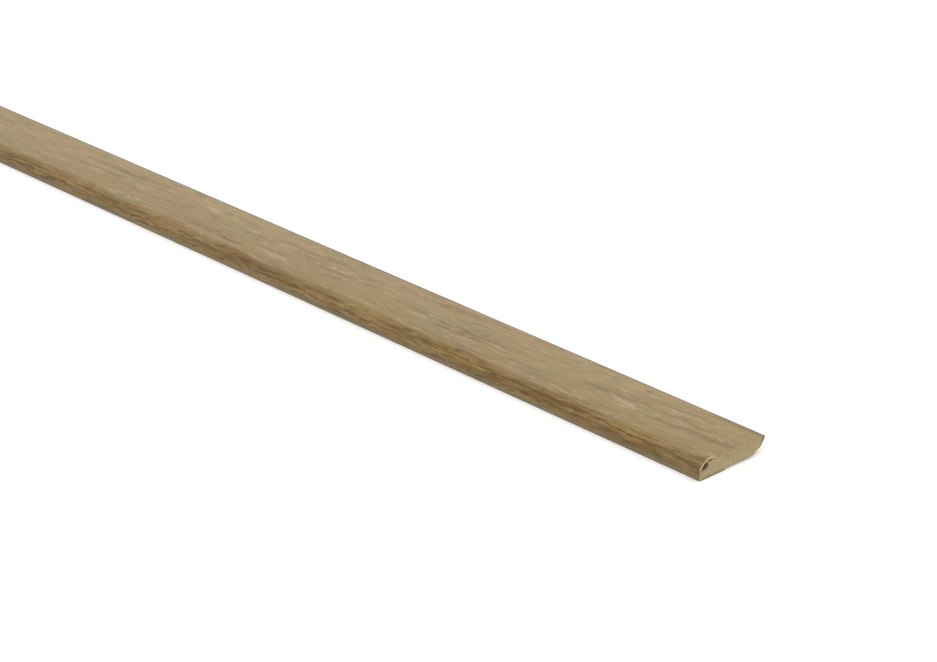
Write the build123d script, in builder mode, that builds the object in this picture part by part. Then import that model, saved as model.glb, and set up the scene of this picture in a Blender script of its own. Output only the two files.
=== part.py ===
"""Stick-on skirting board: a moulded fibreboard core wrapped in an oak decor foil, one full length.

The board lies on its back. X runs along its length, Y across its width from the rounded nose to the
floor edge, and Z up through its thickness. The origin is under the middle of the board, on the plane
of its back land.
"""

import os

from build123d import *

# Sizes of the finished board, in millimetres
board_length = 2400.0
board_width = 24.0
board_thickness = 5.0
nose_radius = 3.5
foil_thickness = 0.3

# The back: a flat land beside the nose, then a shallow recess that leaves room for the adhesive
land_width = 8.4
recess_depth = 0.6
recess_flank_run = 1.8

# The floor edge: a small square tip, a wrapped undercut below it, then a bare chamfer onto the back
tip_height = 0.4
undercut_run = 1.8
undercut_drop = 2.5
back_chamfer_run = 2.1

# The core is smaller than the board by the foil that covers its nose, its face and its tip
nose_face = -board_width / 2 + foil_thickness
tip_face = board_width / 2 - foil_thickness
core_top = board_thickness - foil_thickness
core_nose_radius = nose_radius - foil_thickness

land_edge = -board_width / 2 + land_width
undercut_foot = (tip_face - undercut_run, core_top - tip_height - undercut_drop)
recess_near = land_edge + recess_flank_run
recess_far = undercut_foot[0] - back_chamfer_run

# Sections are drawn across the board, with their first axis along Y and their second along Z
section_plane = Plane.YZ

# The stretch of the core's outline that the foil is wrapped round, from the back land to the undercut
with BuildLine() as wrapped_outline:
    nose_side = Line((nose_face, 0), (nose_face, core_top - core_nose_radius))
    nose_round = TangentArc(
        nose_side @ 1,
        (nose_face + core_nose_radius, core_top),
        tangent=nose_side % 1,
    )
    face = Line(nose_round @ 1, (tip_face, core_top))
    tip = Line(face @ 1, (tip_face, core_top - tip_height))
    undercut = Line(tip @ 1, undercut_foot)

# The bare back of the core, from the undercut to the foot of the nose
with BuildLine() as back_outline:
    Polyline(
        undercut @ 1,
        (recess_far, recess_depth),
        (recess_near, recess_depth),
        (land_edge, 0),
        nose_side @ 0,
    )

# Fibreboard core, moulded along its whole length and sawn square at both ends
with BuildPart() as mdf_core:
    with BuildSketch(section_plane):
        make_face(wrapped_outline.edges() + back_outline.edges())
    extrude(amount=board_length / 2, both=True)
mdf_core.part.label = "mdf_core"

# Decor foil, one strip that turns round every corner of the core with its own thickness as the bend
with BuildPart() as decor_foil:
    with BuildSketch(section_plane):
        with BuildLine():
            add(wrapped_outline.line)
            offset(amount=foil_thickness, side=Side.LEFT, kind=Kind.ARC, closed=True)
        make_face()
    extrude(amount=board_length / 2, both=True)
decor_foil.part.label = "decor_foil"

os.makedirs("parts", exist_ok=True)
for piece in (mdf_core, decor_foil):
    export_step(piece.part, f"parts/{piece.part.label}.step")
    print(piece.part.label, round(piece.part.volume), "mm3", piece.part.bounding_box().size)
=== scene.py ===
# %% [markdown]
# # A stick-on skirting board in oak decor
# This slim board is glued over an old skirting or against a wall. It is made of two things: a strip of
# fibreboard, moulded to its section, and a printed oak foil wrapped round the sides that show.
# The CAD frame holds the true sizes. The lesson reads them back and dresses the two pieces: the saw cut
# with its torn fibres, the foil that lifts off the nose at the cut, and the printed grain.

# %% Load the frame
import math
from functools import partial

import bpy
import numpy as np
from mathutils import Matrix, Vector


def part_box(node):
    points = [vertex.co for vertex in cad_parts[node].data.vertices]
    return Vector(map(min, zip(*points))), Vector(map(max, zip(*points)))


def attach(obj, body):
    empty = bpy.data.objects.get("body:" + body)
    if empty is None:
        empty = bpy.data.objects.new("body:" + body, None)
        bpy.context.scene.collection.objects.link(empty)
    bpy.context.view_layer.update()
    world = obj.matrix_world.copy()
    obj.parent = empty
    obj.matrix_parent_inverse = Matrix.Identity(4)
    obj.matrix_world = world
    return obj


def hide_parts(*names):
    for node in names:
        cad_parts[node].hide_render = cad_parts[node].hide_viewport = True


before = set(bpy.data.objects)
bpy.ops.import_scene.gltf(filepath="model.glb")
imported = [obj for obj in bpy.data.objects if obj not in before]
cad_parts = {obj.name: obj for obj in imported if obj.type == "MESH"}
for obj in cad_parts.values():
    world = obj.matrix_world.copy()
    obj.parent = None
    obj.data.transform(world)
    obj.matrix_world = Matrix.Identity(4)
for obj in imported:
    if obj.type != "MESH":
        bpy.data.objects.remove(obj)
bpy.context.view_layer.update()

# %% [markdown]
# ## The section, read from the frame
# A moulding is one section drawn out along a line, so a handful of corners says everything about its
# shape. They could be typed in again, but then a change to the CAD model would leave this script behind.
# So each corner is found on the CAD core itself: the nose is its lowest Y, the tip its highest, and so on.

# %% Find the corners of the core
MM = 0.001
SAME = 1e-6
core_low, core_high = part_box("mdf_core")
board_length = core_high.x - core_low.x
foil_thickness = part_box("decor_foil")[1].z - core_high.z

corners = [vertex.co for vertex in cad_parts["mdf_core"].data.vertices]
nose_radius = core_high.z - max(p.z for p in corners if p.y < core_low.y + SAME)
tip_foot = min(p.z for p in corners if p.y > core_high.y - SAME)
land_edge = max(p.y for p in corners if p.z < SAME)
back_corners = [p for p in corners if p.y > land_edge + SAME and p.z < tip_foot - SAME]
recess_depth = min(p.z for p in back_corners)
recess_near = min(p.y for p in back_corners if p.z < recess_depth + SAME)
recess_far = max(p.y for p in back_corners if p.z < recess_depth + SAME)
undercut_foot = max(back_corners, key=lambda p: p.z)
print(f"nose radius {nose_radius / MM:.2f} mm, foil {foil_thickness / MM:.2f} mm,",
      f"recess {recess_depth / MM:.2f} mm")

# %% [markdown]
# ## Helpers for every node tree
# Materials and Geometry Nodes are both trees of nodes, and building one repeats three acts: add a node,
# choose its settings, fill or link its inputs. One small function does all three, for any kind of node.
# Colours are written as the hex codes that a colour picker shows, and turned to linear light in one place.

# %% Node and colour helpers
# The two kinds of node that are used most
MATH = "ShaderNodeMath"
RANGE = "ShaderNodeMapRange"


def add(tree, kind, links=None, **settings):
    """Adds a node. Each input is named by label or number, and takes a value, a socket or a node."""
    node = tree.nodes.new(kind)
    for name, value in settings.items():
        setattr(node, name, value)
    sockets = [socket for socket in node.inputs if socket.enabled]
    for key, source in (links or {}).items():
        socket = sockets[key] if isinstance(key, int) else next(s for s in sockets if s.name == key)
        if isinstance(source, bpy.types.Node):
            source = next(output for output in source.outputs if output.enabled)
        if isinstance(source, bpy.types.NodeSocket):
            tree.links.new(source, socket)
        else:
            socket.default_value = source
    return node


def linear(code):
    """The linear RGBA of an sRGB hex colour, by the curve of the sRGB standard."""
    shares = [int(code[start:start + 2], 16) / 255 for start in (1, 3, 5)]
    return [c / 12.92 if c <= 0.04045 else ((c + 0.055) / 1.055) ** 2.4 for c in shares] + [1.0]


def open_material(name):
    """A new empty material, and the function that adds nodes to it."""
    material = bpy.data.materials.new(name)
    material.use_nodes = True
    material.node_tree.nodes.clear()
    return material, partial(add, material.node_tree)


print("middle grey #808080 is", round(linear("#808080")[0], 3), "in linear light")

# %% [markdown]
# ## Finish: sawn and moulded fibreboard
# Medium-density fibreboard is wood ground to fibres and pressed flat with resin. A cut through it is
# felt-like: short pale and brown fibres lie in the plane of the board, so they look long across the cut
# and thin up it. A scanned picture could be laid on, but it would have to be bent round every side. Noise
# stretched to the size of a fibre, in Object coordinates, lets the cut and the back share one grain.

# %% Fibreboard: a felt of fibres
# Real fibres are about a tenth as thick as this, too fine to show in the render
FIBRE_SIZE = (1.1 * MM, 1.1 * MM, 0.25 * MM)
CLUMP_SIZE = (5.0 * MM, 4.0 * MM, 1.6 * MM)
# The two values of its noise between which each one comes in
FIBRE_RANGE = (0.32, 0.68)
CLUMP_RANGE = (0.40, 0.65)
CLUMP_SHARE = 0.45


def stain(nodes, colour, code, value, start, end, at_start=0.0, at_end=1.0):
    """The colour with a share of another one over it, which changes between two values of a measure."""
    share = nodes(RANGE, {
        "Value": value, "From Min": start, "From Max": end, "To Min": at_start, "To Max": at_end})
    return nodes("ShaderNodeMix", {"Factor": share, "A": colour, "B": linear(code)}, data_type="RGBA")


fibreboard, mdf = open_material("Fibreboard, sawn and moulded")
place = mdf("ShaderNodeTexCoord").outputs["Object"]
fibre_place = mdf("ShaderNodeMapping", {"Vector": place, "Scale": FIBRE_SIZE}, vector_type="TEXTURE")
fibres = mdf("ShaderNodeTexNoise", {
    "Vector": fibre_place, "Scale": 1.0, "Detail": 4.0, "Roughness": 0.65})
clump_place = mdf("ShaderNodeMapping", {"Vector": place, "Scale": CLUMP_SIZE}, vector_type="TEXTURE")
clumps = mdf("ShaderNodeTexNoise", {"Vector": clump_place, "Scale": 1.0, "Detail": 2.0})
felt = stain(mdf, linear("#97865F"), "#B3A17B", fibres, *FIBRE_RANGE)
mottled = stain(mdf, felt, "#A39B6C", clumps, *CLUMP_RANGE, at_end=CLUMP_SHARE)
print(f"felt: fibres {FIBRE_SIZE[0] / MM:.1f} mm long and {FIBRE_SIZE[2] / MM:.2f} mm thick")

# %% [markdown]
# ## What the press and the saw left on it, and painted shade
# The cut isn't of one colour. It gets warmer towards the face and greyer towards the tip. Along the bottom
# of
# the land it is darker: partly the denser pressed skin, partly painted shade where the board meets the
# floor.
# Near the foot of the nose it is darker and greyer, which is painted shade, and the chips are darkened
# inside by their depth, which is painted shade too. Each could be painted on by hand. Here each is a stain
# whose share follows a height, a place across the board or the depth of a chip, so it stays in its place
# when a size changes.

# %% Fibreboard: stains and surface
CAST_HEIGHTS = (1.2 * MM, 4.4 * MM)
CAST_SHARE = 0.45
LAND_FROM = land_edge - 0.2 * MM
LAND_TO = land_edge + 0.3 * MM
SKIN_AND_SHADE_SHARE = 0.75
SKIN_AND_SHADE_HEIGHTS = (0.3 * MM, 0.9 * MM)
TIP_PLACES = (core_high.y - 1.6 * MM, core_high.y - 0.2 * MM)
TIP_SHARE = 0.8
FOOT_SHADE_PLACES = (core_low.y + 0.5 * MM, core_low.y + 2.6 * MM)
FOOT_SHADE_SHARE = 0.55
CHIP_SHADE_DEPTHS = (0.2 * MM, 1.1 * MM)
CHIP_SHADE_SHARE = 0.9
FELT_RELIEF = 0.08 * MM

over, height = mdf("ShaderNodeSeparateXYZ", {"Vector": place}).outputs[1:]
cast = stain(mdf, linear("#A69F7A"), "#A48D63", height, *CAST_HEIGHTS)
colour = mdf("ShaderNodeMix", {"Factor": CAST_SHARE, "A": mottled, "B": cast}, data_type="RGBA")
# Darker along the bottom of the land: partly its denser pressed skin, partly painted shade where it meets
# the floor
on_land = mdf(RANGE, {
    "Value": over, "From Min": LAND_FROM, "From Max": LAND_TO, "To Min": SKIN_AND_SHADE_SHARE, "To Max": 0.0})
colour = stain(mdf, colour, "#72664A", height, *SKIN_AND_SHADE_HEIGHTS, on_land, 0.0)
# Greyer towards the tip
colour = stain(mdf, colour, "#76725F", over, *TIP_PLACES, at_end=TIP_SHARE)
# Painted shade: darker and greyer towards the foot of the nose, where the board meets the floor
from_foot = mdf(MATH, {0: over, 1: height})
colour = stain(mdf, colour, "#7F7B62", from_foot, *FOOT_SHADE_PLACES, FOOT_SHADE_SHARE, 0.0)
# Painted shade: the deeper a chip, the darker its inside is painted
torn = mdf("ShaderNodeAttribute", attribute_name="torn_depth").outputs["Fac"]
colour = stain(mdf, colour, "#4C3711", torn, *CHIP_SHADE_DEPTHS, at_end=CHIP_SHADE_SHARE)
relief = mdf("ShaderNodeBump", {"Height": fibres, "Strength": 0.5, "Distance": FELT_RELIEF})
# To the eye: a dry, matt board with a soft fuzz and no highlight
surface = mdf("ShaderNodeBsdfPrincipled", {
    "Base Color": colour, "Roughness": 0.88, "IOR": 1.5, "Normal": relief})
mdf("ShaderNodeOutputMaterial", {"Surface": surface})
print("material:", fibreboard.name, len(fibreboard.node_tree.nodes), "nodes")

# %% [markdown]
# ## Shapes that follow a rule
# Both pieces are long boxes bent by a rule. They could be pulled into shape by hand, but then no size
# could be changed later, so both are grown by Geometry Nodes. A tree gets one named input for each size,
# and a holder object runs it once. The result is kept as a plain mesh, and the holder is thrown away.

# %% Tree helpers
def open_tree(name, sizes):
    """A new tree with an input for each size: the tree, its inputs, and the function that adds to it."""
    tree = bpy.data.node_groups.new(name, "GeometryNodeTree")
    tree.interface.new_socket("Geometry", in_out="INPUT", socket_type="NodeSocketGeometry")
    for label in sizes:
        tree.interface.new_socket(label, in_out="INPUT", socket_type="NodeSocketFloat")
    tree.interface.new_socket("Geometry", in_out="OUTPUT", socket_type="NodeSocketGeometry")
    print(name, "tree with", len(sizes), "sizes")
    return tree, add(tree, "NodeGroupInput").outputs, partial(add, tree)


def grow(name, tree, sizes, start):
    """Runs the tree on a start mesh with these sizes, and keeps the result as a plain mesh piece."""
    holder = bpy.data.objects.new(name + "_holder", start)
    bpy.context.scene.collection.objects.link(holder)
    modifier = holder.modifiers.new("shape", "NODES")
    modifier.node_group = tree
    for item in tree.interface.items_tree:
        if item.name in sizes:
            modifier[item.identifier] = sizes[item.name]
    graph = bpy.context.evaluated_depsgraph_get()
    mesh = bpy.data.meshes.new_from_object(
        holder.evaluated_get(graph), preserve_all_data_layers=True, depsgraph=graph)
    bpy.data.objects.remove(holder)
    mesh.materials.pop(index=0)  # the empty slot that a new box comes with
    mesh.name = name
    piece = bpy.data.objects.new(name, mesh)
    bpy.context.scene.collection.objects.link(piece)
    print(name, len(mesh.polygons), "faces in", [material.name for material in mesh.materials])
    return piece


# %% [markdown]
# ## Piece: the fibreboard core
# On the real board a spindle moulder cuts the section, and a saw cuts the length. An extruded outline has
# the same form, but its end is one flat face that can't be roughened. So a finely divided box gets one
# rule: across the board, a lower line climbs over the recess and the undercut, an upper line follows the
# nose, and the box is stretched between the two.

# %% Core: sizes and start box
core_sizes = {
    "Length": board_length,
    "Thickness": core_high.z,
    "Nose Face": core_low.y,
    "Nose Radius": nose_radius,
    "Nose Round End": core_low.y + nose_radius,
    "Land Edge": land_edge,
    "Recess Near": recess_near,
    "Recess Far": recess_far,
    "Recess Depth": recess_depth,
    "Undercut Across": undercut_foot.y,
    "Undercut Height": undercut_foot.z,
    "Tip Face": core_high.y,
    "Tip Height": tip_foot,
    "Saw Roughness": 0.05 * MM,
    "Tear Depth": 0.12 * MM,
    "Chip Depth": 1.4 * MM,
}
# A start box reaches from minus a half to a half each way; on a side means this close to a half
BOX_SIZE = (1, 1, 1)
BOX_HALF = 0.5
BOX_MATCH = 0.001
CORE_POINTS = {"Vertices X": 9, "Vertices Y": 241, "Vertices Z": 49}
core_tree, size, core = open_tree("Fibreboard core", core_sizes)
box = core("GeometryNodeMeshCube", {"Size": BOX_SIZE, **CORE_POINTS})
along, over, up = core("ShaderNodeSeparateXYZ", {"Vector": core("GeometryNodeInputPosition")}).outputs

# %% Core: bend the box to the section
NOSE_CROWDING = 1.5
# Each ramp of the back: where it starts, where it ends and the height it reaches
BACK_RAMPS = (
    ("Land Edge", "Recess Near", "Recess Depth"),
    ("Recess Far", "Undercut Across", "Undercut Height"),
    ("Undercut Across", "Tip Face", "Tip Height"),
)

# The nose is round, so more of the box's columns go to it
over_share = core(MATH, {0: over, 1: BOX_HALF})
over_share = core(MATH, {0: over_share, 1: NOSE_CROWDING}, operation="POWER")
across = core(RANGE, {
    "Value": over_share, "To Min": size["Nose Face"], "To Max": size["Tip Face"]})
lower = 0.0
for start, end, reached in BACK_RAMPS:
    lower = core(RANGE, {
        "Value": across, "From Min": size[start], "From Max": size[end],
        "To Min": lower, "To Max": size[reached]})

# The nose is a quarter circle: its height follows from how far the point lies inside the radius
inside = core(RANGE, {
    "Value": across, "From Min": size["Nose Face"], "From Max": size["Nose Round End"],
    "To Min": 1.0, "To Max": 0.0})
angle = core(MATH, {0: inside}, operation="ARCSINE")
cosine = core(MATH, {0: angle}, operation="COSINE")
fall = core(MATH, {0: cosine, 1: -1.0})
upper = core(MATH, {
    0: fall, 1: size["Nose Radius"], 2: size["Thickness"]}, operation="MULTIPLY_ADD")
height = core(RANGE, {
    "Value": up, "From Min": -BOX_HALF, "From Max": BOX_HALF, "To Min": lower, "To Max": upper})
print("section of the core:", len(core_tree.nodes), "nodes")

# %% [markdown]
# ## The saw cut
# A saw leaves fibreboard slightly furry, tears its lower edge, and breaks chips out where the foil comes
# off the nose. Each could be sculpted, but a depth to push the end in by is easier to set, and where two
# meet, the deeper one wins. The chips are where the photographed end has them. The far end is a plain cut.

# %% Core: saw roughness and torn lower edge
RAGGED_SIZE = 0.5 * MM
TEAR_HEIGHT = 0.45 * MM
TEAR_LEAST = 0.1 * TEAR_HEIGHT
# Nearly all of a noise lies between these two values
NOISE_LOW = 0.3
NOISE_HIGH = 0.7

face_place = core("ShaderNodeCombineXYZ", {"X": along, "Y": across, "Z": height})
ragged_place = core("ShaderNodeVectorMath", {0: face_place, "Scale": 1 / RAGGED_SIZE}, operation="SCALE")
ragged = core("ShaderNodeTexNoise", {"Vector": ragged_place, "Scale": 1.0, "Detail": 3.0})
furry = core(RANGE, {
    "Value": ragged, "From Min": NOISE_LOW, "From Max": NOISE_HIGH, "To Max": size["Saw Roughness"]})
edge_height = core(MATH, {0: height, 1: lower}, operation="SUBTRACT")
tear_reach = core(RANGE, {
    "Value": ragged, "From Min": NOISE_LOW, "From Max": NOISE_HIGH,
    "To Min": TEAR_LEAST, "To Max": TEAR_HEIGHT})
tear = core(RANGE, {
    "Value": edge_height, "From Max": tear_reach, "To Min": size["Tear Depth"], "To Max": 0.0})
sawn = core(MATH, {0: furry, 1: tear}, operation="MAXIMUM")
print(f"saw cut: {core_sizes['Saw Roughness'] / MM:.2f} mm rough,",
      f"lower edge torn up to {TEAR_HEIGHT / MM:.2f} mm high")

# %% Core: chips behind the foil
# Each chip: its place across the board from the nose, its height and its radius, in millimetres
CHIPS = ((0.85, 2.9, 0.5), (1.95, 3.5, 1.22), (3.75, 4.8, 0.6))
CHIP_FLOOR = 0.7
CHIP_RAG = 0.3 * MM
board_edge = core_low.y - foil_thickness

chip_depth = core(RANGE, {
    "Value": along, "From Min": -BOX_HALF, "From Max": BOX_HALF, "To Max": size["Chip Depth"]})
section_place = core("ShaderNodeCombineXYZ", {"Y": across, "Z": height})
rag = core(RANGE, {"Value": ragged, "To Min": -CHIP_RAG, "To Max": CHIP_RAG})
chips = 0.0
for chip_over, chip_up, chip_radius in CHIPS:
    centre = (0.0, board_edge + chip_over * MM, chip_up * MM)
    away = core("ShaderNodeVectorMath", {0: section_place, 1: centre}, operation="DISTANCE")
    away = core(MATH, {0: away.outputs["Value"], 1: rag})
    chip = core(RANGE, {
        "Value": away, "From Min": CHIP_FLOOR * chip_radius * MM, "From Max": chip_radius * MM,
        "To Min": chip_depth, "To Max": 0.0})
    chips = core(MATH, {0: chips, 1: chip}, operation="MAXIMUM")
depth = core(MATH, {0: sawn, 1: chips}, operation="MAXIMUM")
print(f"chips: {len(CHIPS)}, up to {core_sizes['Chip Depth'] / MM:.1f} mm deep")

# %% [markdown]
# ## Pushing the ends in
# The depth is now taken off the two ends. Two things are written on the mesh, because later steps can't
# find them again: the depth of the chips, which the finish darkens as painted shade, and which side a face
# is on.

# %% Core: push the ends in and mark the sides
# The mark of a side: an end counts 1, the back 2 and the rest 0
CUT_SIDE = 1
BACK_SIDE = 2
from_middle = core(MATH, {0: along}, operation="ABSOLUTE")
at_end = core(MATH, {0: from_middle, 1: BOX_HALF, 2: BOX_MATCH}, operation="COMPARE")
sunk = core(MATH, {0: depth, 1: at_end}, operation="MULTIPLY")
# An end lies half a length from the middle, so each depth counts twice
full = core(MATH, {0: sunk, 1: -2.0, 2: size["Length"]}, operation="MULTIPLY_ADD")
lengthwise = core(MATH, {0: along, 1: full}, operation="MULTIPLY")
shaped_place = core("ShaderNodeCombineXYZ", {"X": lengthwise, "Y": across, "Z": height})

flat = core("GeometryNodeSetShadeSmooth", {"Geometry": box, "Shade Smooth": False})
smooth = core("GeometryNodeSetShadeSmooth", {
    "Geometry": flat, "Selection": at_end, "Shade Smooth": True})
marked = core("GeometryNodeStoreNamedAttribute", {
    "Geometry": smooth, "Name": "torn_depth", "Value": chips}, data_type="FLOAT", domain="POINT")
at_back = core(MATH, {0: up, 1: -BOX_HALF, 2: BOX_MATCH}, operation="COMPARE")
side = core(MATH, {0: at_back, 1: BACK_SIDE, 2: at_end}, operation="MULTIPLY_ADD")
marked = core("GeometryNodeStoreNamedAttribute", {
    "Geometry": marked, "Name": "side", "Value": side}, data_type="FLOAT", domain="FACE")
shaped = core("GeometryNodeSetPosition", {"Geometry": marked, "Position": shaped_place})
print("core with its saw cut:", len(core_tree.nodes), "nodes")

# %% [markdown]
# ## Loose fibres
# Close up, a cut through fibreboard is hairy: short slivers stick up from it, most of them across the
# board. A hair system could grow them, but the piece has to leave Blender as a plain mesh. So Geometry
# Nodes scatters points on the cut and sets one thin cone on each. They start clear of the corners, and
# close to the floor they only point up.

# %% Core: points for the fibres
FIBRES_PER_END = 500
CUT_FACING = 0.7
CORNER_CLEARANCE = 0.6 * MM
end_area = (core_high.y - core_low.y) * core_high.z
middle = (core_low.y + core_high.y) / 2
reach = core_high.y - middle - CORNER_CLEARANCE

root = core("ShaderNodeSeparateXYZ", {"Vector": core("GeometryNodeInputPosition")}).outputs
facing = core("ShaderNodeSeparateXYZ", {"Vector": core("GeometryNodeInputNormal")}).outputs["X"]
facing = core(MATH, {0: facing}, operation="ABSOLUTE")
on_cut = core(MATH, {0: facing, 1: CUT_FACING}, operation="GREATER_THAN")
clear = core(MATH, {0: root["Y"], 1: middle, 2: reach}, operation="COMPARE")
on_cut = core(MATH, {0: on_cut, 1: clear}, operation="MULTIPLY")
spread = core("GeometryNodeDistributePointsOnFaces", {
    "Mesh": shaped, "Selection": on_cut, "Density": FIBRES_PER_END / end_area, "Seed": 3})
roots = core("GeometryNodeRemoveAttribute", {"Geometry": spread, "Name": "side"})
print(f"loose fibres: {FIBRES_PER_END / (end_area / MM ** 2):.1f} on each mm2 of the cut")

# %% Core: a leaning sliver on each point
FIBRE_LENGTH = 0.5 * MM
FIBRE_WIDTH = 0.06 * MM
FIBRE_SLOPE = 0.4
FIBRE_RAISED = {"Min": 0.05, "Max": 0.3}
FIBRE_GROWTH = {"Min": 0.5, "Max": 1.4}
LOW_DOWN = 2 * FIBRE_LENGTH
# A sliver is a thin cone with four sides, as long as one unit, and made small where it is set
SLIVER = {"Vertices": 4, "Radius Top": 0.15, "Radius Bottom": 0.5, "Depth": 1.0}

sliver = core("GeometryNodeMeshCone", SLIVER)
low_down = core(MATH, {0: root["Z"], 1: LOW_DOWN}, operation="LESS_THAN")
turn_limit = core(MATH, {0: low_down, 1: -math.pi, 2: math.tau}, operation="MULTIPLY_ADD")
angle = core("FunctionNodeRandomValue", {"Max": turn_limit, "Seed": 5}, data_type="FLOAT")
sideways = core(MATH, {0: angle}, operation="COSINE")
upwards = core(MATH, {0: angle}, operation="SINE")
upwards = core(MATH, {0: upwards, 1: FIBRE_SLOPE}, operation="MULTIPLY")
raised = core("FunctionNodeRandomValue", {**FIBRE_RAISED, "Seed": 6}, data_type="FLOAT")
outward = core("ShaderNodeSeparateXYZ", {"Vector": spread.outputs["Normal"]}).outputs["X"]
outwards = core(MATH, {0: raised, 1: outward}, operation="MULTIPLY")
lean = core("ShaderNodeCombineXYZ", {"X": outwards, "Y": sideways, "Z": upwards})
turn = core("FunctionNodeAlignRotationToVector", {"Vector": lean}, axis="Z")
growth = core("FunctionNodeRandomValue", {**FIBRE_GROWTH, "Seed": 8}, data_type="FLOAT")
sliver_size = core("ShaderNodeVectorMath", {
    0: (FIBRE_WIDTH, FIBRE_WIDTH, FIBRE_LENGTH), "Scale": growth}, operation="SCALE")
slivers = core("GeometryNodeInstanceOnPoints", {
    "Points": roots, "Instance": sliver, "Rotation": turn, "Scale": sliver_size})
print(f"slivers: {FIBRE_LENGTH * FIBRE_GROWTH['Min'] / MM:.2f} to",
      f"{FIBRE_LENGTH * FIBRE_GROWTH['Max'] / MM:.2f} mm long")

# %% [markdown]
# ## A tuft below the land
# Where the land ends, the saw left a small spur of fibres hanging below the cut. It could be one modelled
# lump, but a few of the same slivers, a little thicker and all from one point, look like what it is.

# %% Core: tuft, and the finished piece
TUFT_PLACE = (board_length / 2 - 0.1 * MM, land_edge + 0.9 * MM, 0.45 * MM)
TUFT_COUNT = 9
TUFT_SIZE = (0.14 * MM, 0.14 * MM, 0.42 * MM)
TUFT_LEAN = {"Min": (-0.3, -0.5, -1.0), "Max": (0.5, 0.5, -0.6)}
tuft_points = core("GeometryNodePoints", {"Count": TUFT_COUNT, "Position": TUFT_PLACE, "Radius": 0.0})
hanging = core("FunctionNodeRandomValue", {**TUFT_LEAN, "Seed": 11}, data_type="FLOAT_VECTOR")
tuft_turn = core("FunctionNodeAlignRotationToVector", {"Vector": hanging}, axis="Z")
tuft = core("GeometryNodeInstanceOnPoints", {
    "Points": tuft_points, "Instance": sliver, "Rotation": tuft_turn, "Scale": TUFT_SIZE})

joined = core("GeometryNodeJoinGeometry", {"Geometry": slivers})
for more in (tuft, shaped):
    core_tree.links.new(more.outputs[0], joined.inputs[0])
real = core("GeometryNodeRealizeInstances", {"Geometry": joined})
finished = core("GeometryNodeSetMaterial", {"Geometry": real, "Material": fibreboard})
core("NodeGroupOutput", {"Geometry": finished})
core_piece = grow("fibreboard_core", core_tree, core_sizes, bpy.data.meshes.new("start"))

# %% [markdown]
# ## Finish: printed oak decor
# The foil is a picture of greyed oak under a satin lacquer. A scan of a real board could be used, but it
# would repeat along 2.4 m and blur up close. So the picture is built up as a printer would do it: a ground
# colour, then one thin layer after another, each of them noise stretched to the size of the mark it makes.
# The foil carries its own flat coordinates: how far along, and how far round the wrap. In these the grain
# runs unbroken over the nose, as the print does.

# %% Oak decor: helpers for the print
GRAIN_LEAN = math.radians(2.0)
MARK_ROUGHNESS = 0.62
# Each seed looks at its own slice of the noise; this is the size of the noise from slice to slice
SLICE = 0.1
oak, decor = open_material("Oak decor foil, satin")
place = decor("ShaderNodeAttribute", attribute_name="decor_place").outputs["Vector"]
around = decor("ShaderNodeSeparateXYZ", {"Vector": place}).outputs["Y"]


def marks(seed, long, wide, low=NOISE_LOW, high=NOISE_HIGH, least=0.0, most=1.0, where=place, detail=3.0):
    """Noise stretched along the grain to marks of this size in millimetres, from its least to its most."""
    stretched = decor("ShaderNodeMapping", {
        "Vector": where, "Location": (0, 0, seed), "Rotation": (0, 0, GRAIN_LEAN),
        "Scale": (long * MM, wide * MM, SLICE)}, vector_type="TEXTURE")
    noise = decor("ShaderNodeTexNoise", {
        "Vector": stretched, "Scale": 1.0, "Detail": detail, "Roughness": MARK_ROUGHNESS})
    return decor(RANGE, {
        "Value": noise, "From Min": low, "From Max": high, "To Min": least, "To Max": most})


def fade(start, end, at_start, at_end, value=around):
    """A smooth change round the wrap, between two places in millimetres."""
    return decor(RANGE, {
        "Value": value, "From Min": start * MM, "From Max": end * MM,
        "To Min": at_start, "To Max": at_end}, interpolation_type="SMOOTHSTEP")


def tint(colour, share, code):
    """The colour with a share of another one printed over it."""
    return decor("ShaderNodeMix", {"Factor": share, "A": colour, "B": linear(code)}, data_type="RGBA")


print(f"the grain leans {math.degrees(GRAIN_LEAN):.0f} degrees off the edge of the foil")

# %% [markdown]
# ## The grain of the face
# Oak grain wanders a little, and has calm and busy places. Marks that ran straight, all as strong as each
# other, would look like brushed metal. So a wave pushes the coordinates sideways before the marks are
# drawn, and a slow noise makes them fainter here and stronger there. The wave has no fine detail, because
# that would turn the wood into marble.

# %% Oak decor: ground and printed layers
# Each layer: length and width of its marks in millimetres, where its noise starts and ends, strength and
# colour. The ticks are about twice as wide as real pores, which are too fine to show in the render
LAYERS = {
    "cloud": (80.0, 7.0, 0.40, 0.65, 0.50, "#8A7349"),
    "olive patches": (30.0, 6.0, 0.46, 0.68, 0.46, "#838058"),
    "fine streaks": (42.0, 2.7, 0.49, 0.68, 0.66, "#7A623D"),
    "light flecks": (18.0, 2.6, 0.54, 0.67, 0.42, "#B7A079"),
    "dark pores": (26.0, 1.9, 0.57, 0.68, 0.58, "#6B5029"),
    "light ticks": (5.5, 0.8, 0.57, 0.64, 0.40, "#BBA57F"),
    "dark ticks": (5.5, 0.8, 0.57, 0.64, 0.52, "#6E5836"),
}
WAVE = 0.45 * MM
CALM = 0.3
BUSY = 1.6
wave = marks(seed=50, long=9.0, wide=3.0, least=-WAVE, most=WAVE, detail=0.0)
sideways = decor("ShaderNodeCombineXYZ", {"Y": wave})
wavy = decor("ShaderNodeVectorMath", {0: place, 1: sideways})
busy = marks(seed=41, long=34.0, wide=4.0, low=0.36, high=0.64, least=CALM, most=BUSY)
colour = tint(linear("#90774A"), fade(start=8.0, end=26.0, at_start=0.0, at_end=1.0), "#9C855A")
shares = {}
for seed, (name, (long, wide, low, high, strength, code)) in enumerate(LAYERS.items()):
    share = marks(seed, long, wide, low, high, most=strength, where=wavy)
    shares[name] = decor(MATH, {0: share, 1: busy}, operation="MULTIPLY")
    colour = tint(colour, shares[name], code)
print("face:", len(shares), "layers:", ", ".join(shares))
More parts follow.
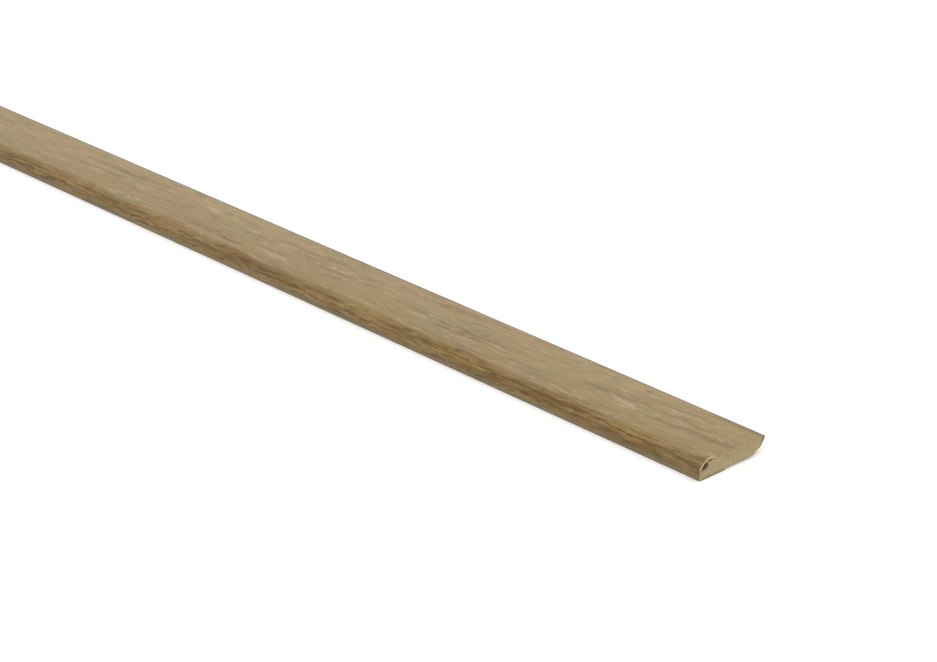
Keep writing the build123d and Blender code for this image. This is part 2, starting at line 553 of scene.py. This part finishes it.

# %% [markdown]
# ## The figure on the nose
# Oak shows its dark growth lines where the print bends over the nose: a browner band with narrower,
# stronger marks, and a few broken lines that wander along it. The browner band is also painted shade on the
# side of the nose that is turned from the light. A line could be drawn point by point over
# 2.4 m. Here it is the distance from a place round the wrap, and slow noise moves that place up and down.
# The foil is greyer at its foot. At the fold of the tip it is darker and greyer, which is painted shade
# where the fold turns away from the light.

# %% Oak decor: brown band on the nose
NOSE_LAYERS = {
    "brown clouds": (40.0, 2.8, 0.45, 0.60, 0.76, "#68490F"),
    "olive shade": (30.0, 2.8, 0.50, 0.62, 0.55, "#746C38"),
    "nose flecks": (16.0, 1.2, 0.53, 0.65, 0.40, "#B2955F"),
    "nose dashes": (12.0, 0.8, 0.56, 0.63, 0.68, "#593E0C"),
    "nose glints": (5.0, 0.55, 0.58, 0.66, 0.38, "#BA9F6E"),
    "nose nicks": (6.0, 0.5, 0.57, 0.63, 0.80, "#4E3406"),
}
BAND_DRIFT = 1.3 * MM
BAND_AND_SHADE_SHARE = 0.6
drift = marks(seed=40, long=24.0, wide=4.0, least=-BAND_DRIFT, most=BAND_DRIFT)
drifted = decor(MATH, {0: around, 1: drift})
band = fade(start=3.2, end=7.7, at_start=1.0, at_end=0.0, value=drifted)
# The browner band: partly the real print, partly painted shade on the nose turned from the light
brown_and_shade = decor(MATH, {0: band, 1: BAND_AND_SHADE_SHARE}, operation="MULTIPLY")
colour = tint(colour, brown_and_shade, "#8F6B2D")
for seed, (long, wide, low, high, strength, code) in enumerate(NOSE_LAYERS.values(), start=30):
    share = marks(seed, long, wide, low, high, most=strength, where=wavy)
    share = decor(MATH, {0: share, 1: band}, operation="MULTIPLY")
    colour = tint(colour, share, code)
print("nose:", len(NOSE_LAYERS), "layers:", ", ".join(NOSE_LAYERS))

# %% Oak decor: broken lines, foot and fold
# Each line: its place round the wrap and its half width in millimetres, and its strength
FIGURE_LINES = ((2.7, 0.40, 0.65), (3.9, 0.42, 0.90), (5.3, 0.35, 0.32))
WANDER = 0.9 * MM
LINE_RAG = 0.3 * MM
# So wide that it is the same all over the foil's width
WHOLE_WIDTH = 1000.0
for seed, (line_place, half_width, strength) in enumerate(FIGURE_LINES, start=10):
    slow = marks(
        seed, long=45.0, wide=WHOLE_WIDTH,
        least=line_place * MM - WANDER, most=line_place * MM + WANDER)
    line_rag = marks(seed + 5, long=5.0, wide=0.5, least=-LINE_RAG, most=LINE_RAG)
    line_middle = decor(MATH, {0: slow, 1: line_rag})
    away = decor(MATH, {0: around, 1: line_middle}, operation="SUBTRACT")
    away = decor(MATH, {0: away}, operation="ABSOLUTE")
    stroke = decor(RANGE, {
        "Value": away, "From Max": half_width * MM, "To Min": strength, "To Max": 0.0})
    unbroken = marks(seed + 10, long=24.0, wide=2.0, low=0.44, high=0.52)
    share = decor(MATH, {0: stroke, 1: unbroken}, operation="MULTIPLY")
    colour = tint(colour, share, "#573A0A")
colour = tint(colour, fade(start=0.4, end=1.8, at_start=0.6, at_end=0.0), "#888161")
# Painted shade: a dark grey line along the fold of the tip
colour = tint(colour, fade(start=25.6, end=26.5, at_start=0.0, at_end=0.45), "#655E4E")
print("nose:", len(FIGURE_LINES), "broken lines")

# %% [markdown]
# ## Lacquer and pressed pores
# The print is sealed with a satin lacquer, and a roller presses shallow pores into it. The lacquer could
# be a clear coat over a second surface, but its sheen is so soft that one surface looks the same. The
# pores are pressed where the dark pores are printed.

# %% Oak decor: lacquer and pressed pores
PORE_DEPTH = 0.05 * MM
pores = decor("ShaderNodeBump", {
    "Height": shares["dark pores"], "Strength": 0.35, "Distance": PORE_DEPTH}, invert=True)
# To the eye: a broad soft sheen that mirrors nothing, broken a little by the pores
surface = decor("ShaderNodeBsdfPrincipled", {
    "Base Color": colour, "Roughness": 0.5, "IOR": 1.5, "Normal": pores})
decor("ShaderNodeOutputMaterial", {"Surface": surface})
print("material:", oak.name, len(oak.node_tree.nodes), "nodes")

# %% [markdown]
# ## Finish: the foil's cut edge
# Where the saw went through it, the foil shows its pale paper and glue as a thin light line. One even
# colour would do from afar, but the real line changes: it is brightest where the foil stands off the nose,
# duller where it is still glued and near its foot, and grey at the fold. On the inside the lifted foil
# carries a skin of wood fibres. So it gets the same kind of stains as the fibreboard.

# %% Foil edge material
SPECK_SIZE = 0.5 * MM
# Places round the wrap, measured from the foot of the nose
FREE_PLACES = (1.6 * MM, 2.6 * MM)
GLUED_PLACES = (7.6 * MM, 9.0 * MM)
FOLD_PLACES = (25.0 * MM, 26.0 * MM)
HELD_PLACE = 2.0 * MM
HELD_REACH = (0.6 * MM, 1.1 * MM)
HELD_SHARE = 0.85
# Shares of the foil's thickness, from its inner side
SKIN_LAYERS = (0.45, 0.65)

foil_edge, paper = open_material("Decor foil, cut edge")
place = paper("ShaderNodeTexCoord").outputs["Object"]
speck_place = paper("ShaderNodeMapping", {
    "Vector": place, "Scale": (SPECK_SIZE,) * 3}, vector_type="TEXTURE")
specks = paper("ShaderNodeTexNoise", {"Vector": speck_place, "Scale": 1.0, "Detail": 3.0})
flat_place = paper("ShaderNodeAttribute", attribute_name="decor_place").outputs["Vector"]
wrapped, layer = paper("ShaderNodeSeparateXYZ", {"Vector": flat_place}).outputs[1:]
colour = stain(paper, linear("#B9A37C"), "#DFD0AE", specks, 0.0, 1.0)
colour = stain(paper, colour, "#9C8B64", wrapped, *GLUED_PLACES)
colour = stain(paper, colour, "#77725F", wrapped, *FOLD_PLACES)
held = paper(MATH, {0: wrapped, 1: HELD_PLACE}, operation="SUBTRACT")
held = paper(MATH, {0: held}, operation="ABSOLUTE")
colour = stain(paper, colour, "#8E8562", held, *HELD_REACH, HELD_SHARE, 0.0)
free, glued = (
    paper(RANGE, {"Value": wrapped, "From Min": start, "From Max": end})
    for start, end in (FREE_PLACES, GLUED_PLACES))
lifted = paper(MATH, {0: free, 1: glued}, operation="SUBTRACT")
colour = stain(paper, colour, "#9C8760", layer, *SKIN_LAYERS, lifted, 0.0)
# To the eye: chalky paper, the lightest line on the board
surface = paper("ShaderNodeBsdfPrincipled", {"Base Color": colour, "Roughness": 0.8, "IOR": 1.5})
paper("ShaderNodeOutputMaterial", {"Surface": surface})
print("material:", foil_edge.name, len(foil_edge.node_tree.nodes), "nodes")

# %% [markdown]
# ## Piece: the decor foil
# The wrapping machine presses the foil round the moulded core from its foot to the undercut. A sheet with
# a Solidify modifier would do if it were even, but this one thins out at its pressed edge and lifts at the
# cut. So the corners of its path are joined to a line, which the tree rounds, and a thin box is laid along
# it, column by column, pushed out by its thickness.

# %% Foil: the path of the wrap
NOSE_CORNER = 1
path = [
    (0, core_low.y, 0),
    (0, core_low.y, core_high.z),
    (0, core_high.y, core_high.z),
    (0, core_high.y, tip_foot),
    (0, undercut_foot.y, undercut_foot.z),
]
path_mesh = bpy.data.meshes.new("wrap_path")
path_mesh.from_pydata(path, [(n, n + 1) for n in range(len(path) - 1)], [])
print("wrap path:", len(path_mesh.vertices), "corners,", len(path_mesh.edges), "straights")

# %% Foil: sizes and rounded path
foil_sizes = {
    "Length": board_length,
    "Thickness": foil_thickness,
    "Nose Radius": nose_radius,
    "Fold Radius": 0.12 * MM,
    "Pressed Edge": 0.1 * MM,
    "Lift": 0.62 * MM,
    "Lift Reach": 6.0 * MM,
    "Torn Skin": 0.55,
    "Raggedness": 0.12 * MM,
}
ROUND_POINTS = 32
COLUMNS = 150
foil_tree, size, foil = open_tree("Decor foil", foil_sizes)
raw_path = foil("GeometryNodeMeshToCurve", {"Mesh": size["Geometry"]})
is_nose = foil("FunctionNodeCompare", {
    0: foil("GeometryNodeInputIndex"), 1: NOSE_CORNER}, data_type="INT", operation="EQUAL")
bend = foil("GeometryNodeSwitch", {
    "Switch": is_nose, "False": size["Fold Radius"], "True": size["Nose Radius"]}, input_type="FLOAT")
bent = foil("GeometryNodeFilletCurve", {
    "Curve": raw_path, "Count": ROUND_POINTS, "Radius": bend, "Limit Radius": True}, mode="POLY")
wrap = foil("GeometryNodeResampleCurve", {"Curve": bent, "Count": COLUMNS}, mode="COUNT")

# %% Foil: a thin box, each column at its place on the path
EVEN_ROWS = 47
FINE_ROWS = 12
half_rows = EVEN_ROWS + FINE_ROWS
# What each column takes from the path: the node that knows it, its output and its type
PATH_FIELDS = {
    "Position": ("GeometryNodeInputPosition", "Position", "FLOAT_VECTOR"),
    "Tangent": ("GeometryNodeInputTangent", "Tangent", "FLOAT_VECTOR"),
    "Around": ("GeometryNodeSplineParameter", "Length", "FLOAT"),
    "Share": ("GeometryNodeSplineParameter", "Factor", "FLOAT"),
}
sheet = foil("GeometryNodeMeshCube", {
    "Size": BOX_SIZE, "Vertices X": 2 * half_rows + 1, "Vertices Y": COLUMNS, "Vertices Z": 2})
along, over, up = foil("ShaderNodeSeparateXYZ", {"Vector": foil("GeometryNodeInputPosition")}).outputs
over_share = foil(MATH, {0: over, 1: BOX_HALF})
column = foil(MATH, {0: over_share, 1: COLUMNS - 1}, operation="MULTIPLY")
column = foil("FunctionNodeFloatToInt", {"Float": column}, rounding_mode="ROUND")
on_path = {}
for name, (kind, output, data_type) in PATH_FIELDS.items():
    on_path[name] = foil("GeometryNodeSampleIndex", {
        "Geometry": wrap, "Value": foil(kind).outputs[output], "Index": column}, data_type=data_type)
out_of_face = foil("ShaderNodeVectorMath", {
    0: (1, 0, 0), 1: on_path["Tangent"]}, operation="CROSS_PRODUCT")
out_of_face = foil("ShaderNodeVectorMath", {0: out_of_face}, operation="NORMALIZE")
layer = foil(MATH, {0: up, 1: BOX_HALF})
print("foil sheet:", 2 * half_rows + 1, "rows by", COLUMNS, "columns")

# %% Foil: finer rows towards the cut
# The last even row at each end is cut into finer ones, the finest at the cut, where the foil frays
FINE_CROWDING = 2.0
half_length = foil(MATH, {0: size["Length"], 1: 0.5}, operation="MULTIPLY")
from_middle = foil(MATH, {0: along}, operation="ABSOLUTE")
even_end = foil(MATH, {0: half_length, 1: EVEN_ROWS / (EVEN_ROWS + 1)}, operation="MULTIPLY")
even_share = BOX_HALF * EVEN_ROWS / half_rows
even_part = foil(RANGE, {"Value": from_middle, "From Max": even_share, "To Max": even_end})
to_cut = foil(RANGE, {
    "Value": from_middle, "From Min": even_share, "From Max": BOX_HALF, "To Min": 1.0, "To Max": 0.0})
to_cut = foil(MATH, {0: to_cut, 1: FINE_CROWDING}, operation="POWER")
from_centre = foil(RANGE, {
    "Value": to_cut, "From Min": 1.0, "From Max": 0.0, "To Min": even_part, "To Max": half_length})
way = foil(MATH, {0: along}, operation="SIGN")
lengthwise = foil(MATH, {0: from_centre, 1: way}, operation="MULTIPLY")
print(f"rows: {board_length / 2 / (EVEN_ROWS + 1) / MM:.0f} mm apart, and finer at the cuts")

# %% [markdown]
# ## The foil lifts at the cut
# At the photographed end the saw has pulled the foil off the nose by half a millimetre, with a dip in the
# middle of the lift. A cloth simulation could peel it, but a shape that is known is set more surely by a
# rule: the lift is a product of smooth factors, one for each place where it comes or goes. The lifted foil
# takes a skin of wood fibres with it, so its inner side lifts less than its face.

# %% Foil: lift and torn skin
LIFT_FOOT = 0.8 * MM
LIFT_PEAK = 3.4 * MM
LIFT_EASE = 6.4 * MM
LIFT_END = 9.0 * MM
SAG_PLACE = 4.3 * MM
SAG_REACH = 1.6 * MM
SAG_LEFT = 0.6
PRESSED_FROM = 0.97
reach_start = foil(MATH, {0: half_length, 1: size["Lift Reach"]}, operation="SUBTRACT")
from_sag = foil(MATH, {0: on_path["Around"], 1: SAG_PLACE}, operation="SUBTRACT")
from_sag = foil(MATH, {0: from_sag}, operation="ABSOLUTE")
# Each factor: what it follows, where it starts and ends, and what it is at both
LIFT_FACTORS = {
    "climb": (on_path["Around"], LIFT_FOOT, LIFT_PEAK, 0.0, 1.0),
    "settle": (on_path["Around"], LIFT_EASE, LIFT_END, 1.0, 0.0),
    "sag": (from_sag, 0.0, SAG_REACH, SAG_LEFT, 1.0),
    "near the cut": (lengthwise, reach_start, half_length, 0.0, 1.0),
}
lift = 1.0
for value, start, end, first, last in LIFT_FACTORS.values():
    factor = foil(RANGE, {
        "Value": value, "From Min": start, "From Max": end, "To Min": first, "To Max": last},
        interpolation_type="SMOOTHSTEP")
    lift = foil(MATH, {0: lift, 1: factor}, operation="MULTIPLY")
lift = foil(MATH, {0: lift, 1: size["Lift"]}, operation="MULTIPLY")
pressed = foil(RANGE, {
    "Value": on_path["Share"], "From Min": PRESSED_FROM,
    "To Min": size["Thickness"], "To Max": size["Pressed Edge"]})
skin = foil(MATH, {0: lift, 1: size["Torn Skin"]}, operation="MULTIPLY")
bare_lift = foil(MATH, {0: lift, 1: skin}, operation="SUBTRACT")
backed = foil(MATH, {0: pressed, 1: skin})
offset = foil(MATH, {0: layer, 1: backed, 2: bare_lift}, operation="MULTIPLY_ADD")
pushed = foil("ShaderNodeVectorMath", {0: out_of_face, "Scale": offset}, operation="SCALE")
print(f"lift: up to {foil_sizes['Lift'] / MM:.2f} mm over the last {foil_sizes['Lift Reach'] / MM:.0f} mm")

# %% Foil: frayed ends
FRAY_SIZE = 0.6 * MM
fray_place = foil(MATH, {0: on_path["Around"], 1: FRAY_SIZE}, operation="DIVIDE")
fray_noise = foil("ShaderNodeTexNoise", {
    "W": fray_place, "Scale": 1.0, "Detail": 2.0}, noise_dimensions="1D")
fray = foil(RANGE, {
    "Value": fray_noise, "From Min": NOISE_LOW, "From Max": NOISE_HIGH, "To Max": size["Raggedness"]})
at_end = foil(MATH, {0: from_middle, 1: BOX_HALF, 2: BOX_MATCH}, operation="COMPARE")
fray = foil(MATH, {0: fray, 1: at_end}, operation="MULTIPLY")
fray = foil(MATH, {0: fray, 1: way}, operation="MULTIPLY")
cut_back = foil(MATH, {0: lengthwise, 1: fray}, operation="SUBTRACT")
on_line = foil("ShaderNodeVectorMath", {0: on_path["Position"], 1: pushed})
sheet_place = foil("ShaderNodeVectorMath", {0: on_line, 1: foil("ShaderNodeCombineXYZ", {"X": cut_back})})
print(f"fray: up to {foil_sizes['Raggedness'] / MM:.2f} mm")

# %% [markdown]
# ## The finished foil
# Each point keeps its flat coordinates, for the print and the flat map. They could be worked out from the
# bent shape, but here they are known exactly. The outer side gets the print, every other side bare paper.

# %% Foil: flat coordinates, finishes and the finished piece
BROAD_FROM = 0.4
PRINT_FROM = 0.75
flat_place = foil("ShaderNodeCombineXYZ", {"X": lengthwise, "Y": on_path["Around"], "Z": layer})
marked = foil("GeometryNodeStoreNamedAttribute", {
    "Geometry": sheet, "Name": "decor_place", "Value": flat_place},
    data_type="FLOAT_VECTOR", domain="POINT")
from_layer = foil(MATH, {0: up}, operation="ABSOLUTE")
broad = foil(MATH, {0: from_layer, 1: BROAD_FROM}, operation="GREATER_THAN")
flat = foil("GeometryNodeSetShadeSmooth", {"Geometry": marked, "Shade Smooth": False})
smooth = foil("GeometryNodeSetShadeSmooth", {
    "Geometry": flat, "Selection": broad, "Shade Smooth": True})
laid = foil("GeometryNodeSetPosition", {"Geometry": smooth, "Position": sheet_place})
real = foil("GeometryNodeRealizeInstances", {"Geometry": laid})
printed = foil("GeometryNodeSetMaterial", {"Geometry": real, "Material": oak})
kept = foil("GeometryNodeInputNamedAttribute", {"Name": "decor_place"}, data_type="FLOAT_VECTOR")
kept_layer = foil("ShaderNodeSeparateXYZ", {"Vector": kept}).outputs["Z"]
unprinted = foil(MATH, {0: kept_layer, 1: PRINT_FROM}, operation="LESS_THAN")
finished = foil("GeometryNodeSetMaterial", {
    "Geometry": printed, "Selection": unprinted, "Material": foil_edge})
foil("NodeGroupOutput", {"Geometry": finished})
foil_piece = grow("oak_decor_foil", foil_tree, foil_sizes, path_mesh)

# %% [markdown]
# ## A flat map for each piece
# Each finish can be painted onto one square picture, and a UV map says which spot of the
# piece gets which spot of the picture. An automatic map would squeeze a strip of 2.4 m onto one side of the
# square. So the strip is cut into eight lengths that lie on each other like planks.

# %% Flat maps: helpers
PLANKS = 8
ENDS = 2
SHELF_MARGIN = 0.03


def face_corners(mesh, name):
    """A vector attribute of the mesh, as an array for each axis: a row a face, with its four corners."""
    corner = np.zeros(len(mesh.loops), dtype=int)
    mesh.loops.foreach_get("vertex_index", corner)
    values = np.zeros(len(mesh.vertices) * 3)
    mesh.attributes[name].data.foreach_get("vector", values)
    return np.moveaxis(values.reshape(-1, 3)[corner.reshape(-1, 4)], 2, 0)


def planks(x):
    """The number of the plank that each face lies in, and how far along it each corner is."""
    along_planks = (x / board_length + 0.5) * PLANKS
    plank = np.floor(along_planks.mean(axis=1, keepdims=True)).clip(0, PLANKS - 1)
    return plank, along_planks - plank


def shelf(low, high, number, count, share):
    """The height of a share of one of several equal shelves, between two heights of the picture."""
    inset = SHELF_MARGIN + (1 - 2 * SHELF_MARGIN) * share
    return low + (high - low) * (number + inset) / count


def write_map(mesh, across, up):
    """A UV map from two numbers for each corner of each face."""
    layer = mesh.uv_layers.new(name="OFBake")
    layer.uv.foreach_set("vector", np.stack([across, up], axis=-1).ravel())
    print(mesh.name, "map fills", across.min().round(2), up.min().round(2),
          "to", across.max().round(2), up.max().round(2))


# %% [markdown]
# ## The foil's map
# The print is what everyone sees, so it gets nearly all of the square, and the other sides a narrow strip
# each. The flat coordinates that the foil carries are already a map, so nothing has to be unfolded.

# %% Flat map: the foil
# Lower and upper height of each kind of face in the square picture
FOIL_SHELVES = {
    "print": (0.000, 0.880),
    "inner side": (0.890, 0.950),
    "cut": (0.955, 0.980),
    "long edge": (0.985, 1.000),
}
x, s, layer = face_corners(foil_piece.data, "decor_place")
plank, along_plank = planks(x)
wrap_share = s / s.max()
is_cut = np.ptp(x, axis=1, keepdims=True) < SAME
is_long_edge = np.ptp(s, axis=1, keepdims=True) < SAME
is_printed = layer.min(axis=1, keepdims=True) > 0.5
kinds = [is_cut, is_long_edge, is_printed]
across = np.select(kinds, [wrap_share, x / board_length + 0.5, along_plank], along_plank)
up = np.select(kinds, [
    shelf(*FOIL_SHELVES["cut"], x > 0, ENDS, layer),
    shelf(*FOIL_SHELVES["long edge"], wrap_share > 0.5, ENDS, layer),
    shelf(*FOIL_SHELVES["print"], plank, PLANKS, wrap_share),
], shelf(*FOIL_SHELVES["inner side"], plank, PLANKS, wrap_share))
write_map(foil_piece.data, across, up)

# %% [markdown]
# ## The core's map
# Of the core only the two cuts and the back are seen. The cuts get a big shelf each, and the back lies in
# planks. For a face under the foil or on a loose fibre, a small cell with one colour is enough.

# %% Flat map: the core
CORE_SHELVES = {
    "back": (0.00, 0.49),
    "cut": (0.50, 0.90),
    "cells": (0.91, 1.00),
}
CELLS_ACROSS = 256
# The four corners of a face in its cell
CELL_ACROSS = np.array([0.1, 0.9, 0.9, 0.1])
CELL_UP = np.array([0, 0, 1, 1])
x, y, z = face_corners(core_piece.data, "position")
side = np.zeros(len(x))
core_piece.data.attributes["side"].data.foreach_get("value", side)
side = side.round().astype(int)[:, None]
plank, along_plank = planks(x)
over_share = (y - core_low.y) / (core_high.y - core_low.y)

cell = np.cumsum(side == 0)[:, None] - 1
cell_across = (cell % CELLS_ACROSS + CELL_ACROSS) / CELLS_ACROSS
cell_rows = cell.max() // CELLS_ACROSS + 1
kinds = [side == CUT_SIDE, side == BACK_SIDE]
across = np.select(kinds, [over_share, along_plank], cell_across)
up = np.select(kinds, [
    shelf(*CORE_SHELVES["cut"], x > 0, ENDS, z / core_high.z),
    shelf(*CORE_SHELVES["back"], plank, PLANKS, over_share),
], shelf(*CORE_SHELVES["cells"], cell // CELLS_ACROSS, cell_rows, CELL_UP))
write_map(core_piece.data, across, up)

# %% [markdown]
# ## Riding and standing in
# Each dressed piece stands for the CAD node that it was read from.
# Both ride on the same body, because a board has nothing that moves.

# %% Tie the pieces to the frame
PIECES = ((core_piece, "mdf_core", "fibreboard"), (foil_piece, "decor_foil", "oak_decor"))
for piece, node, slot in PIECES:
    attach(piece, "root")
    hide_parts(node)
    print(piece.name, "stands for", node)

# %% [markdown]
# ## A plain white studio
# A product shot on white needs light from everywhere and a little more from one side. Lamps close by would
# light one end of a long board more than the other, so the world gives the soft light and a wide sun the
# direction. The floor glows a little for the camera alone, which makes it white and leaves its shadow.

# %% Studio: floor
FLOOR_SIZE = 60.0
FLOOR_DROP = 0.02 * MM
FLOOR_GLOW = 0.1
half = FLOOR_SIZE / 2
floor_corners = [(-half, -half, 0), (half, -half, 0), (half, half, 0), (-half, half, 0)]
floor_mesh = bpy.data.meshes.new("floor")
floor_mesh.from_pydata(floor_corners, [], [(0, 1, 2, 3)])
floor = bpy.data.objects.new("floor", floor_mesh)
floor.location.z = -FLOOR_DROP
bpy.context.scene.collection.objects.link(floor)
white_floor, paint = open_material("Studio floor, matt white")
seen = paint("ShaderNodeLightPath").outputs["Is Camera Ray"]
glow = paint(MATH, {0: seen, 1: FLOOR_GLOW}, operation="MULTIPLY")
# To the eye: paper white with no sheen, so that only the shadow shows
surface = paint("ShaderNodeBsdfPrincipled", {
    "Base Color": linear("#F6F6F6"), "Roughness": 1.0, "Specular IOR Level": 0.0,
    "Emission Color": linear("#FFFFFF"), "Emission Strength": glow})
paint("ShaderNodeOutputMaterial", {"Surface": surface})
floor_mesh.materials.append(white_floor)
print("floor:", FLOOR_SIZE, "m wide, in", white_floor.name)

# %% Studio: room and sun
ROOM_LIGHT = 0.58
SUN_STRENGTH = 1.8
SUN_SPREAD = math.radians(70)
SUN_WAY = Vector((0.45, 0.1, 0.88))
world = bpy.data.worlds.new("Studio")
bpy.context.scene.world = world
world.use_nodes = True
world.node_tree.nodes.clear()
room = partial(add, world.node_tree)
rays = room("ShaderNodeLightPath").outputs
mirrored = room(MATH, {
    0: rays["Is Glossy Ray"], 1: rays["Is Transmission Ray"]}, operation="MAXIMUM")
looked = room(MATH, {0: rays["Is Camera Ray"], 1: mirrored}, operation="MAXIMUM")
strength = room(RANGE, {"Value": looked, "To Min": ROOM_LIGHT, "To Max": 1.0})
backdrop = room("ShaderNodeBackground", {"Color": linear("#FFFFFF"), "Strength": strength})
room("ShaderNodeOutputWorld", {"Surface": backdrop})

sun = bpy.data.objects.new("soft_sun", bpy.data.lights.new("soft_sun", "SUN"))
sun.data.energy = SUN_STRENGTH
sun.data.angle = SUN_SPREAD
sun.rotation_euler = SUN_WAY.to_track_quat("Z", "Y").to_euler()
bpy.context.scene.collection.objects.link(sun)
bpy.context.scene.view_settings.view_transform = "Standard"
print("light: room", ROOM_LIGHT, "and sun", SUN_STRENGTH)

# %% [markdown]
# ## The camera
# The photograph looks down the board from beyond its cut end. A view could be set by eye, but on such
# straight edges a small error shows. So it was fitted to them and to the cut, which gives the angles, the
# distance and a long lens.

# %% Camera
PHOTO_WIDTH = 937
FOCAL_PIXELS = 2685.2
SENSOR_WIDTH = 36.0
NEAREST = 10 * MM
AZIMUTH = math.radians(47.196)
ELEVATION = math.radians(24.031)
DISTANCE = 738.2 * MM
AIM = Vector((board_length / 2 - 98.25 * MM, 0.66 * MM, 5.0 * MM))

camera = bpy.data.objects.new("camera", bpy.data.cameras.new("camera"))
camera.data.sensor_width = SENSOR_WIDTH
camera.data.lens = FOCAL_PIXELS / PHOTO_WIDTH * SENSOR_WIDTH
camera.data.clip_start = NEAREST
back = Vector((
    math.sin(AZIMUTH) * math.cos(ELEVATION),
    -math.cos(AZIMUTH) * math.cos(ELEVATION),
    math.sin(ELEVATION)))
camera.location = AIM + DISTANCE * back
camera.rotation_euler = back.to_track_quat("Z", "Y").to_euler()
bpy.context.scene.collection.objects.link(camera)
bpy.context.scene.camera = camera
print(f"camera: {camera.data.lens:.0f} mm lens, {DISTANCE:.2f} m from the board")
